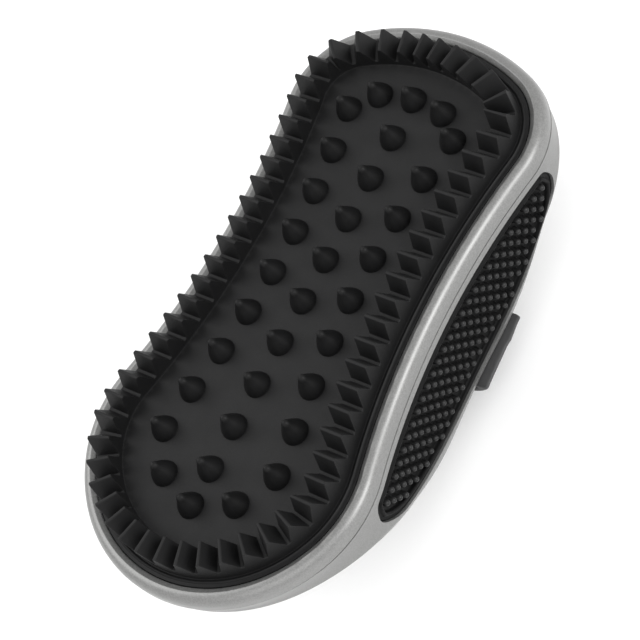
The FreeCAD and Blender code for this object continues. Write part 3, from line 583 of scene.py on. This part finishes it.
@dataclass
class RubberPad:
    """The black pad: held flange, sealing bead, toothed ring, floor and massage cones."""

    outline: Outline
    face: float
    ring_inset: float = 6.5
    ring_width: float = 6.4
    valley_height: float = 1.6
    tooth_height: float = 7.1
    crest_flat: float = 0.12
    crest_radius: float = 0.36
    valley_flat: float = 0.22
    valley_radius: float = 0.36
    flank_degrees: float = 68.0
    edge_radius: float = 0.22
    comb_toe_margin: float = 21.4
    comb_heel_margin: float = 34.3
    comb_teeth: int = 19
    toe_focus: float = 45.6
    toe_spread: float = 48.5
    toe_gather: float = 1.17
    toe_teeth: int = 5
    heel_focus: float = 40.2
    heel_teeth: int = 7
    cone_height: float = 6.6
    cone_radius: float = 3.5
    cone_pitch: float = 12.0
    cone_sides: int = 40
    side_row_cones: int = 9
    side_row_inset: float = 10.2
    side_row_splay: float = 0.024

    def crest_lines(self) -> list[VectorPair]:
        """Inner and outer end of every crest of the +Y half, from toe tip to heel tip."""
        half = self.outline.half_length

        def across(start: Vector, direction: Vector) -> VectorPair:
            inner_inset = self.ring_inset + self.ring_width
            return (self.outline.ray(inner_inset, start, direction),
                    self.outline.ray(self.ring_inset, start, direction))

        def fan(focus_x: float, angle: float, forward: int) -> VectorPair:
            direction = Vector((forward * math.cos(angle), math.sin(angle), 0))
            return across(Vector((focus_x, 0, 0)), direction)

        lines = []
        borders = [math.radians(self.toe_spread) * (index / self.toe_teeth) ** self.toe_gather
                   for index in range(self.toe_teeth + 1)]
        for low, high in zip(borders, borders[1:]):
            lines.append(fan(half - self.toe_focus, (low + high) / 2, 1))
        first = half - self.comb_toe_margin
        last = self.comb_heel_margin - half
        pitch = (first - last) / (self.comb_teeth - 1)
        for index in range(self.comb_teeth):
            lines.append(across(Vector((first - pitch * index, 0, 0)), Vector((0, 1, 0))))
        focus_x = self.heel_focus - half
        inner, outer = across(Vector((last - pitch / 2, 0, 0)), Vector((0, 1, 0)))
        middle = (inner + outer) / 2
        spread = math.atan2(middle.y, focus_x - middle.x)
        for index in reversed(range(self.heel_teeth)):
            lines.append(fan(focus_x, spread * (index + 0.5) / self.heel_teeth, -1))
        return lines

    def half_tooth(self) -> Pairs:
        """Share of the way from crest to valley and height over the floor."""
        pitch = (2 * self.outline.half_length - self.comb_toe_margin
                 - self.comb_heel_margin) / (self.comb_teeth - 1)
        reach = pitch / 2
        slope = math.radians(self.flank_degrees)
        turns = [slope * step / 3 for step in range(4)]
        points = [(self.crest_flat + self.crest_radius * math.sin(turn),
                   self.tooth_height - self.crest_radius * (1 - math.cos(turn)))
                  for turn in turns]
        points += [(reach - self.valley_flat - self.valley_radius * math.sin(turn),
                    self.valley_height + self.valley_radius * (1 - math.cos(turn)))
                   for turn in reversed(turns)]
        return [(across / reach, height) for across, height in points]

    def tooth_stations(self) -> list[tuple[Vector, Vector, Vector, Vector, float]]:
        """Stations round the whole ring.

        Returns:
            Tuples of the inner place, its outward direction, the outer place, its outward
            direction and the height there.
        """
        inner_inset = self.ring_inset + self.ring_width
        crests = self.crest_lines()
        profile = self.half_tooth()
        toe_mirror = tuple(flip(point) for point in crests[0])
        heel_mirror = tuple(flip(point) for point in crests[-1])
        chain = [toe_mirror] + crests + [heel_mirror]
        side = []
        for number in range(1, len(chain) - 1):
            crest = chain[number]
            for neighbour, order in ((chain[number - 1], -1), (chain[number + 1], 1)):
                valley = tuple((mine + other) / 2 for mine, other in zip(crest, neighbour))
                steps = profile if order > 0 else list(reversed(profile))
                for share, height in steps:
                    inner, inner_out = self.outline.snap(
                        inner_inset, crest[0].lerp(valley[0], share))
                    outer, outer_out = self.outline.snap(
                        self.ring_inset, crest[1].lerp(valley[1], share))
                    side.append((inner, inner_out, outer, outer_out, height))
        mirrored = [(flip(a), flip(b), flip(c), flip(d), height)
                    for a, b, c, d, height in reversed(side)]
        return side + mirrored

    def rings(self) -> list[Ring]:
        """Section rings from the middle of the underside, round the flange, to the floor."""
        stations = self.tooth_stations()
        face = self.face
        inset = self.ring_inset
        rings = []
        hidden = [(12.0, -2.4), (7.7, -2.4), (7.7, -4.4), (1.9, -4.4), (1.9, -2.65),
                  (4.2, -2.65), (4.2, -2.0), (4.35, -1.8)]
        bead = [(4.9, -1.8), (5.12, -1.74), (5.24, -1.5), (5.45, -1.33), (5.7, -1.33),
                (5.92, -1.5), (6.04, -1.74), (6.2, -1.8), (6.38, -1.76), (6.47, -1.62)]
        for place, depth in hidden + bead:
            rings.append([lift(outer + out * (inset - place), face + depth)
                          for _, _, outer, out, _ in stations])
        radius = self.edge_radius
        for height in (-1.3, 0.2, self.valley_height - 2 * radius):
            rings.append([lift(outer, face + height) for _, _, outer, _, _ in stations])
        turns = [math.radians(30 * step) for step in range(4)]
        for outer_edge in (True, False):
            for turn in turns if outer_edge else reversed(turns):
                move, drop = radius * (1 - math.cos(turn)), radius * (1 - math.sin(turn))
                ring = []
                for inner, _, outer, _, height in stations:
                    edge, across = (outer, inner - outer) if outer_edge else (inner, outer - inner)
                    ring.append(lift(edge + across.normalized() * move, face + height - drop))
                rings.append(ring)
        for move, height in ((0.0, 0.9), (0.0, 0.34), (0.1, 0.1), (0.34, 0.0), (1.4, 0.0)):
            rings.append([lift(inner - out * move, face + height)
                          for inner, out, _, _, _ in stations])
        return rings

    def cone_places(self) -> Pairs:
        """Where the cones stand on the floor."""
        half = self.outline.half_length
        places = [(self.cone_pitch * (index - 4), 0.0) for index in range(9)]
        places += [(half - 22.2, 0.0), (23.4 - half, 0.0)]
        pairs = [(half - 23.5, 10.1), (28.0 - half, 11.8)]
        first, last = half - 29.6, 38.3 - half
        for index in range(self.side_row_cones):
            x = first + (last - first) * index / (self.side_row_cones - 1)
            wall = self.outline.ray(self.ring_inset + self.ring_width, Vector((x, 0, 0)),
                                    Vector((0, 1, 0))).y
            pairs.append((x, wall - self.side_row_inset + self.side_row_splay * x))
        for x, y in pairs:
            places += [(x, y), (x, -y)]
        return places

    def cone_profile(self) -> Pairs:
        """Radius and height of a cone from its flared foot to its round tip."""
        foot, tall = self.cone_radius, self.cone_height
        return [(foot + 0.06, -0.1), (foot + 0.06, 0.02), (foot, 0.14), (foot - 0.02, 0.4),
                (foot - 0.16, 0.95), (foot - 0.45, 1.7), (foot - 0.86, 2.6),
                (foot - 1.36, 3.6), (foot - 1.92, 4.6), (1.28, tall - 1.30),
                (1.08, tall - 0.86), (0.82, tall - 0.44), (0.50, tall - 0.15),
                (0.20, tall - 0.02), (0.0, tall)]

    def build(self, finish: Finish, cone_painted_shade_finish: Finish) -> None:
        """Make the pad and its cones."""
        pad = skin_rings("rubber_pad_body", self.rings(), fill_start=True, fill_end=True)
        smooth(pad, 38.0, weighted=True)
        dress(pad, finish, "pad_rubber", "rubber_pad")
        pattern = turn_profile("cone_pattern", self.cone_profile(), self.cone_sides)
        cones = scatter("rubber_pad_cones", pattern,
                        [Matrix.Translation(Vector((x, y, self.face)) * MM)
                         for x, y in self.cone_places()])
        smooth(cones, 60.0)
        # The cones get the darker copy of the pad rubber: painted shade, not a different rubber.
        dress(cones, cone_painted_shade_finish, "pad_rubber")


# ---- bezel and shell

@dataclass
class Bezel:
    """The silver ring that holds the pad: round outside, with a dark-reading inner slope."""

    outline: Outline
    face: float
    stations: int = 480
    crest_inset: float = 2.7
    crest_depth: float = 1.2
    round_height: float = 3.1
    lip_inset: float = 4.1
    lip_depth: float = 1.8
    joint_depth: float = 6.0

    def profile(self) -> Pairs:
        """Inset and height pairs of the closed section."""
        points = [(0.0, -5.0)]
        for step in range(11):
            turn = math.radians(9 * step)
            points.append((self.crest_inset * (1 - math.cos(turn)),
                           -self.crest_depth - self.round_height * (1 - math.sin(turn))))
        points += [(2.82, -1.21), (2.94, -1.27), (3.75, -1.70), (4.0, -1.86),
                   (self.lip_inset, -2.06), (self.lip_inset, -2.6), (1.5, -2.6),
                   (1.5, -6.75), (0.95, -6.75), (0.95, -5.7)]
        return points

    def seam(self) -> Pairs:
        """Inset and height above the joint of the rounded edge over the parting line."""
        return [(0.95, 0.16), (0.18, 0.16), (0.06, 0.21), (0.0, 0.34)]

    def build(self, finish: Finish) -> None:
        """Make the ring."""
        stations = self.outline.stations(self.stations)
        rings = [[lift(place - out * inset, self.face + height) for place, out in stations]
                 for inset, height in self.profile()]
        rings += [[lift(place - out * inset, self.face - self.joint_depth
                        + rise * seam_share(place.x)) for place, out in stations]
                  for inset, rise in self.seam()]
        ring = skin_rings("bezel_ring_body", rings + rings[:1])
        smooth(ring, 35.0, weighted=True)
        dress(ring, finish, "silver_plastic", "bezel_ring")


@dataclass
class HandleForm:
    """The outer form of the handle: hollow side walls, a round belly and a tapering end."""

    outline: Outline
    joint: float
    depth: float = 41.6
    tail: float = 4.0
    hump_half: float = 44.5
    hump_shift: float = 5.8
    round_height: float = 17.2
    round_power: float = 2.5
    wall_hollow: float = 1.0
    spine_share: float = 0.66
    wall_steps: int = 22
    round_steps: int = 46
    step_bias: float = 1.15

    def hump(self, x: float) -> float:
        """Share of the full depth at a place along the handle."""
        low = self.tail / self.depth
        far = abs(x - self.hump_shift) / self.hump_half
        return low + (1 - low) / (1 + far ** 4)

    def ring(self, stations: list[VectorPair], move_share: float, wall_part: bool) -> Ring:
        """One level line of the form.

        Args:
            stations: Places and outward directions on the plan outline.
            move_share: 0 to 1, down the side wall or on along the rounding.
            wall_part: True on the side wall, False on the rounding.

        Returns:
            The points of the line.
        """
        wall = self.depth - self.round_height
        power = 2 / self.round_power
        points = []
        for point, _ in stations:
            inward = Vector((point.x * self.spine_share, 0, 0)) - point
            reach = inward.length
            if wall_part:
                move = self.wall_hollow * math.sin(move_share * math.pi / 2)
                drop = wall * move_share
            else:
                angle = move_share * math.pi / 2
                move = self.wall_hollow + (reach - self.wall_hollow) * (
                    1 - abs(math.cos(angle)) ** power)
                drop = wall + self.round_height * math.sin(angle) ** power
            spot = point + inward * (move / reach)
            points.append(lift(spot, self.joint - drop * self.hump(spot.x)))
        return points

    def rings(self, stations: list[VectorPair]) -> list[Ring]:
        """All level lines from under the joint to the spine."""
        rings = [self.ring(stations, step / self.wall_steps, True)
                 for step in range(1, self.wall_steps)]
        rings += [self.ring(stations, (step / self.round_steps) ** self.step_bias, False)
                  for step in range(self.round_steps + 1)]
        return rings


class Surface:
    """The handle's outer surface, for setting things on it."""

    def __init__(self, piece: Piece) -> None:
        """Index the faces of the smooth handle."""
        mesh = bmesh.new()
        mesh.from_mesh(piece.data)
        self.tree = BVHTree.FromBMesh(mesh)
        mesh.free()

    def cast(self, start: Vector, direction: Vector) -> VectorPair:
        """Where a ray from inside leaves the handle, and the outward direction there."""
        place, normal, _, _ = self.tree.ray_cast(start * MM, direction)
        return place / MM, -normal if normal.dot(direction) < 0 else normal

    def side(self, x: float, z: float, side: Side) -> VectorPair:
        """The place and outward direction of a side wall at a length and a height."""
        return self.cast(Vector((x, 0, z)), Vector((0, side.value, 0)))

    def back(self, x: float, angle: float, height: float) -> VectorPair:
        """The place and outward direction of the back at an angle from straight down."""
        return self.cast(Vector((x, 0, height)), Vector((0, math.sin(angle), -math.cos(angle))))


@dataclass
class Grip:
    """A side grip: a leaf of rubber in a recess, with a border bead and rows of nubs."""

    surface: Surface
    top: float
    length: float = 100.6
    foot: float = 15.25
    shift: float = 7.8
    depth: float = 1.6
    gap: float = 0.2
    tip_radius: float = 3.0
    tip_cut: float = 1.15
    tip_drop: float = 0.62
    centre_share: float = 0.42
    field_sink: float = 1.25
    outline_steps: int = 400
    softening: int = 7
    stations: int = 260
    nub_pitch: float = 3.4
    row_pitch: float = 2.7
    nub_margin: float = 3.5
    nub_rows: int = 8
    nub_sink: float = 0.05
    tool_rise: float = 3.0

    @property
    def height(self) -> float:
        """The grip's depth from its top edge to its lowest place."""
        return self.top - self.foot

    def leaf(self, grow: float) -> tuple[Ring, Ring]:
        """The leaf's outline in side view, and the inward direction at each place.

        Args:
            grow: How much larger than the grip the outline is.

        Returns:
            Places and inward directions, with the height as z.
        """
        half, deep = self.length / 2 + grow, self.height + 2 * grow
        top = self.top + grow
        corner = self.tip_radius
        cut = half - corner * self.tip_cut
        low = math.sqrt(1 - (cut / half) ** 2)
        raw = []
        count = self.outline_steps
        for step in range(count):
            angle = math.pi * step / count
            raw.append(Vector((half * math.cos(angle), 0, -deep * math.sin(angle))))
        raw += [Vector((half * (2 * step / count - 1), 0, 0)) for step in range(count)]
        kept = [point for point in raw
                if abs(point.x) < cut or point.z < -deep * low * self.tip_drop]
        line = self.even(kept, self.stations)
        for _ in range(self.softening):
            line = [(line[index - 1] + line[index] * 2
                            + line[(index + 1) % len(line)]) / 4
                           for index in range(len(line))]
        centre = Vector((self.shift, 0, top - deep * self.centre_share))
        places, inwards = [], []
        for index, point in enumerate(line):
            run = (line[(index + 1) % len(line)] - line[index - 1]).normalized()
            place = Vector((point.x + self.shift, 0, point.z + top))
            inward = Vector((run.z, 0, -run.x))
            places.append(place)
            inwards.append(-inward if inward.dot(centre - place) < 0 else inward)
        return places, inwards

    @staticmethod
    def even(points: Ring, count: int) -> Ring:
        """A closed line cut into even steps."""
        closed = points + points[:1]
        lengths = [0.0]
        for first, second in zip(closed, closed[1:]):
            lengths.append(lengths[-1] + (second - first).length)
        result, index = [], 0
        for step in range(count):
            travel = lengths[-1] * step / count
            while lengths[index + 1] < travel:
                index += 1
            share = (travel - lengths[index]) / (lengths[index + 1] - lengths[index])
            result.append(closed[index].lerp(closed[index + 1], share))
        return result

    def on_wall(self, flat: Vector, rise: float, side: Side) -> Vector:
        """A side-view place put on the wall, raised outwards by an amount."""
        place, normal = self.surface.side(flat.x, flat.z, side)
        return place + normal * rise

    def field_rings(self, edge: Ring, rise: float, side: Side, steps: int) -> list[Ring]:
        """Rings from an edge to the leaf's centre that follow the wall."""
        centre = Vector((self.shift, 0, self.top - self.height * self.centre_share))
        return [[self.on_wall(point.lerp(centre, step / steps), rise, side) for point in edge]
                for step in range(1, steps + 1)]

    def recess(self, side: Side) -> Piece:
        """The tool that cuts this grip's recess."""
        edge, _ = self.leaf(self.gap)
        rings = list(reversed(self.field_rings(edge, self.tool_rise, side, 16)))
        rings += [[self.on_wall(point, rise, side) for point in edge]
                  for rise in (self.tool_rise, -self.depth)]
        rings += self.field_rings(edge, -self.depth, side, 16)
        return skin_rings(f"recess_tool_{side.name.lower()}", rings)

    def sheet(self, side: Side) -> Piece:
        """The leaf itself with its rim step, border bead and sunk field."""
        edge, inward = self.leaf(0.0)
        section = [(0.3, -self.depth + 0.02), (0.0, -self.depth + 0.05), (0.0, -0.75),
                   (0.1, -0.62), (0.3, -0.58), (1.05, -0.62), (1.22, -0.55), (1.34, -0.30),
                   (1.52, -0.08), (1.78, 0.02), (2.06, -0.02), (2.28, -0.20), (2.42, -0.60),
                   (2.56, -1.10), (2.75, -self.field_sink)]
        lines = [[point + move * along for point, move in zip(edge, inward)]
                 for along, _ in section]
        rings = [[self.on_wall(point, rise, side) for point in line]
                 for line, (_, rise) in zip(lines, section)]
        back = self.field_rings(lines[0], -self.depth + 0.02, side, 14)
        front = self.field_rings(lines[-1], -self.field_sink, side, 26)
        sheet = skin_rings(f"grip_{side.name.lower()}_sheet", list(reversed(back)) + rings + front)
        smooth(sheet, 50.0)
        return sheet

    def nub_places(self) -> Pairs:
        """Side-view places of the nubs, in rows that are staggered by half a step."""
        places = []
        half = self.length / 2 - self.nub_margin * 0.9
        deep = self.height - self.nub_margin
        for row in range(self.nub_rows):
            drop = self.nub_margin + 0.75 + self.row_pitch * row
            count = int(self.length / self.nub_pitch)
            for index in range(-count, count + 1):
                along = self.nub_pitch * (index + 0.5 * (row % 2))
                if (along / half) ** 2 + (drop / deep) ** 2 < 1:
                    places.append((self.shift + along, self.top - drop))
        return places

    def nubs(self, side: Side) -> Piece:
        """All nubs of one grip."""
        profile = [(1.08, -1.30), (0.96, -0.85), (0.86, 0.0), (0.72, 0.42), (0.42, 0.70),
                   (0.0, 0.80)]
        pattern = turn_profile("nub_pattern", profile, 12)
        places = []
        for x, z in self.nub_places():
            place, normal = self.surface.side(x, z, side)
            turn = normal.to_track_quat("Z", "Y").to_matrix().to_4x4()
            places.append(Matrix.Translation((place - normal * self.nub_sink) * MM) @ turn)
        nubs = scatter(f"grip_{side.name.lower()}_nubs", pattern, places)
        smooth(nubs, 70.0)
        return nubs

    def build(self, side: Side, finish: Finish, nub_painted_light_finish: Finish) -> None:
        """Make one grip."""
        node = f"grip_{side.name.lower()}"
        # The sheet's finish is the darker grip rubber copy, painted shade in the sunk field; the
        # nubs get the lighter copy, painted light on their tips.
        dress(self.sheet(side), finish, "grip_rubber", node)
        dress(self.nubs(side), nub_painted_light_finish, "grip_rubber")


@dataclass
class Strap:
    """The rubber hand strap over the back, folded into a slot at each side."""

    surface: Surface
    centre_x: float = 15.6
    width: float = 21.2
    thick: float = 2.0
    gap: float = 0.8
    slot_level: float = 11.0
    slot_room: float = 0.4
    pin_reach: float = 19.0
    eye_radius: float = 2.35
    eye_bore: float = 1.35
    eye_chamfer: float = 0.4
    eye_sides: int = 40
    flat_level: float = 0.0
    ray_height: float = 26.0
    fold_degrees: float = 61.0
    fold_reach: float = 2.5
    fold_closing: float = 0.45
    tilt: float = 0.03
    slot_end: float = 60.0
    edge_round: float = 0.7

    def section(self) -> Pairs:
        """Width and thickness pairs round the strap's rounded section."""
        radius = self.edge_round
        reach, high = self.width / 2 - radius, self.thick - radius
        points = []
        for across, up, start in ((reach, high, 0), (-reach, high, 90), (-reach, radius, 180),
                                  (reach, radius, 270)):
            for turn in (0, 30, 60, 90):
                angle = math.radians(start + turn)
                points.append((across + radius * math.cos(angle), up + radius * math.sin(angle)))
            if start in (0, 180):
                level = self.thick if start == 0 else 0.0
                points += [(across * (1 - step / 5), level) for step in range(1, 10)]
        return points

    def slot_tool(self, side: Side) -> Piece:
        """The tool that cuts the slot of one side."""
        deselect_all()
        inner, outer = self.pin_reach, self.slot_end
        bpy.ops.mesh.primitive_cube_add(
            size=1.0,
            location=(self.centre_x * MM, side.value * (inner + outer) / 2 * MM,
                      self.slot_level * MM),
            scale=((self.width + 2 * self.slot_room) * MM, (outer - inner) * MM,
                   (self.thick + 2 * self.slot_room) * MM))
        tool = bpy.context.object
        bpy.ops.object.transform_apply(location=True, rotation=True, scale=True)
        return tool

    def place(self, x: float, up: float, share: float) -> Vector:
        """A place of the strap on its +Y half.

        Args:
            x: Along the brush.
            up: From the face towards the handle, 0 inside to the thickness outside.
            share: 0 at the middle of the back, 1 at the fold, 2 at the pin.

        Returns:
            The place.
        """
        fold_angle = math.radians(self.fold_degrees)
        lean = self.tilt * (self.centre_x - x) * min(share, 1.0)
        rise = self.gap * (1 - self.fold_closing * min(share, 1.0)) + up + lean
        if share <= 1:
            spot, normal = self.surface.back(x, fold_angle * share, self.ray_height)
            point = spot + normal * rise
            point.z = max(point.z, self.flat_level)
            return point
        spot, normal = self.surface.back(x, fold_angle, self.ray_height)
        start = spot + normal * rise
        along = Vector((0, -normal.z, normal.y)).normalized()
        if along.z < 0:
            along = -along
        target = self.slot_level - self.thick / 2 + up
        corner = start + along * max((target - start.z) / max(along.z, 0.2), 0.2)
        corner.z = target
        end = Vector((x, self.pin_reach + self.eye_radius * 0.7, target))
        turn_in = corner + (end - corner).normalized() * self.fold_reach
        turn = min((share - 1) / 0.5, 1.0)
        if share <= 1.5:
            return start.lerp(corner, turn).lerp(corner.lerp(turn_in, turn), turn)
        return turn_in.lerp(end, (share - 1.5) / 0.5)

    def build(self, finish: Finish) -> None:
        """Make the strap with its eyes round the pins."""
        section = self.section()
        shares = [step / 34 for step in range(35)]
        shares += [1 + step / 16 for step in range(1, 9)] + [1.6, 1.8, 2.0]
        half = [[self.place(self.centre_x + across, up, share) for across, up in section]
                for share in shares]
        other = [[flip(point) for point in ring] for ring in half]
        band = skin_rings("hand_strap_band", list(reversed(other)) + half[1:], fill_start=True,
                          fill_end=True)
        smooth(band, 50.0)
        dress(band, finish, "strap_rubber", "hand_strap")
        for side in Side:
            self.build_eye(side, finish)

    def build_eye(self, side: Side, finish: Finish) -> None:
        """Make the round eye of one strap end."""
        outer, bore, cut = self.eye_radius, self.eye_bore, self.eye_chamfer
        half = self.width / 2
        section = [(bore, -half), (outer - cut, -half), (outer, cut - half), (outer, half - cut),
                   (outer - cut, half), (bore, half), (bore, -half)]
        turns = [2 * math.pi * step / self.eye_sides for step in range(self.eye_sides)]
        rings = [[Vector((self.centre_x + along,
                          side.value * self.pin_reach + radius * math.cos(turn),
                          self.slot_level + radius * math.sin(turn))) for turn in turns]
                 for radius, along in section]
        eye = skin_rings(f"hand_strap_eye_{side.name.lower()}", rings)
        smooth(eye, 35.0)
        dress(eye, finish, "strap_rubber")


@dataclass
class Handle:
    """The silver shell with its grips and strap."""

    outline: Outline
    joint: float
    grip_drop: float = 2.4
    stations: int = 480
    seam: float = 0.14

    def shell(self) -> Piece:
        """The closed shell before anything is cut into it."""
        stations = self.outline.stations(self.stations)
        top = [(1.0, -1.2), (0.85, -1.2), (0.85, -self.seam), (0.18, -self.seam),
               (0.06, -self.seam - 0.05), (0.0, -self.seam - 0.18)]
        rings = [[lift(place - out * inset, self.joint + height * (
                       seam_share(place.x) if height > -1.0 else 1.0))
                  for place, out in stations] for inset, height in top]
        rings += HandleForm(self.outline, self.joint).rings(stations)
        return skin_rings("handle_shell_body", rings, fill_start=True)

    def build(self, finishes: dict[str, Finish]) -> None:
        """Make the shell, cut its recesses and slots, and fit the grips and the strap."""
        shell = self.shell()
        surface = Surface(shell)
        grip = Grip(surface, self.joint - self.grip_drop)
        strap = Strap(surface)
        for side in Side:
            carve(shell, grip.recess(side))
            carve(shell, strap.slot_tool(side))
        smooth(shell, 32.0)
        dress(shell, finishes["silver"], "silver_plastic", "handle_shell")
        for side in Side:
            grip.build(side, finishes["grip"], finishes["nub_painted_light"])
        strap.build(finishes["strap"])


# ---- studio

@dataclass
class Studio:
    """White paper, soft lights and the camera."""

    target: Vector
    azimuth: float = 19.05
    elevation: float = 52.87
    roll: float = -45.87
    distance: float = 621.2
    lens: float = 141.1

    def camera(self) -> None:
        """Set up the camera by its angles round the pad's middle."""
        bearing, tilt = math.radians(self.azimuth), math.radians(self.elevation)
        forward = Vector((math.cos(tilt) * math.sin(bearing),
                          math.cos(tilt) * math.cos(bearing), -math.sin(tilt)))
        right = forward.cross(Vector((0, 0, 1))).normalized()
        up = right.cross(forward)
        lean = math.radians(self.roll)
        turned = right * math.cos(lean) + up * math.sin(lean)
        upright = up * math.cos(lean) - right * math.sin(lean)
        data = bpy.data.cameras.new("camera")
        data.lens = self.lens
        data.sensor_width = 36.0
        data.clip_end = 20.0
        camera = bpy.data.objects.new("camera", data)
        basis = Matrix((turned, upright, -forward)).transposed().to_4x4()
        place = (self.target - forward * self.distance) * MM
        camera.matrix_world = Matrix.Translation(place) @ basis
        bpy.context.collection.objects.link(camera)
        bpy.context.scene.camera = camera

    def lamp(self, name: str, place: Triple, size: float, power: float) -> None:
        """Hang one soft square lamp that points at the brush."""
        data = bpy.data.lights.new(name, "AREA")
        data.size = size
        data.energy = power
        lamp = bpy.data.objects.new(name, data)
        spot = Vector(place)
        lamp.matrix_world = Matrix.Translation(spot) @ (
            (self.target * MM - spot).to_track_quat("-Z", "Y").to_matrix().to_4x4())
        bpy.context.collection.objects.link(lamp)

    def floor(self) -> None:
        """Lay the paper that the brush lies on."""
        deselect_all()
        bpy.ops.mesh.primitive_plane_add(size=8.0, location=(0, 0, 0))
        paper = bpy.context.object
        paper.name = "studio_floor"
        paper.data.materials.append(StudioPaper().make())

    def build(self) -> None:
        """Set up floor, lights, world and camera."""
        self.floor()
        self.lamp("key", (-0.15, 0.75, 0.85), 0.8, 5.0)
        self.lamp("fill", (-0.80, -0.45, 0.75), 0.9, 3.0)
        self.lamp("front", (0.22, -0.85, 0.62), 0.45, 6.5)
        world = bpy.data.worlds.new("studio")
        world.use_nodes = True
        world.node_tree.nodes["Background"].inputs["Color"].default_value = (1, 1, 1, 1)
        world.node_tree.nodes["Background"].inputs["Strength"].default_value = 1.05
        bpy.context.scene.world = world
        bpy.context.scene.view_settings.view_transform = "Standard"
        self.camera()


def dress_frame_nodes(nodes: dict[str, Piece]) -> None:
    """Give every frame node that stays its detailed finish."""
    steel = ZincSteel().make()
    plastic = InnerPlastic().make()
    finishes = {"plate_screws": steel, "grip_washers": steel, "strap_pin_left": steel,
                "strap_pin_right": steel, "backing_plate": plastic}
    for name, finish in finishes.items():
        node = nodes[name]
        if node.material_slots:
            for place in node.material_slots:
                place.material = finish
        else:
            node.data.materials.append(finish)
        log.info("%s: keeps its shape, finish %s", name, finish.name)


def main() -> None:
    """Build the brush in order."""
    logging.basicConfig(level=logging.INFO, format="%(name)s %(message)s")
    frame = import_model()
    shell_low, shell_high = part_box("handle_shell")
    pad_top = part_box("rubber_pad")[1][2] / MM
    outline = Outline((shell_high[0] - shell_low[0]) / 2 / MM)
    face = pad_top - RubberPad.tooth_height
    joint = face - Bezel.joint_depth
    # The grip and cone finishes are darker copies of their rubbers as painted shade, and the nub
    # finish a lighter copy as painted light.
    finishes = {"silver": SilverPaint().make(), "grip": GRIP_RUBBER_PAINTED_SHADE.make(),
                "nub_painted_light": NUB_RUBBER_PAINTED_LIGHT.make(), "strap": STRAP_RUBBER.make()}
    RubberPad(outline, face).build(PAD_RUBBER.make(), CONE_RUBBER_PAINTED_SHADE.make())
    Bezel(outline, face).build(finishes["silver"])
    Handle(outline, joint).build(finishes)
    dress_frame_nodes(frame["nodes"])
    Studio(Vector((-2.9, -7.1, face))).build()


if __name__ == "__main__":
    main()
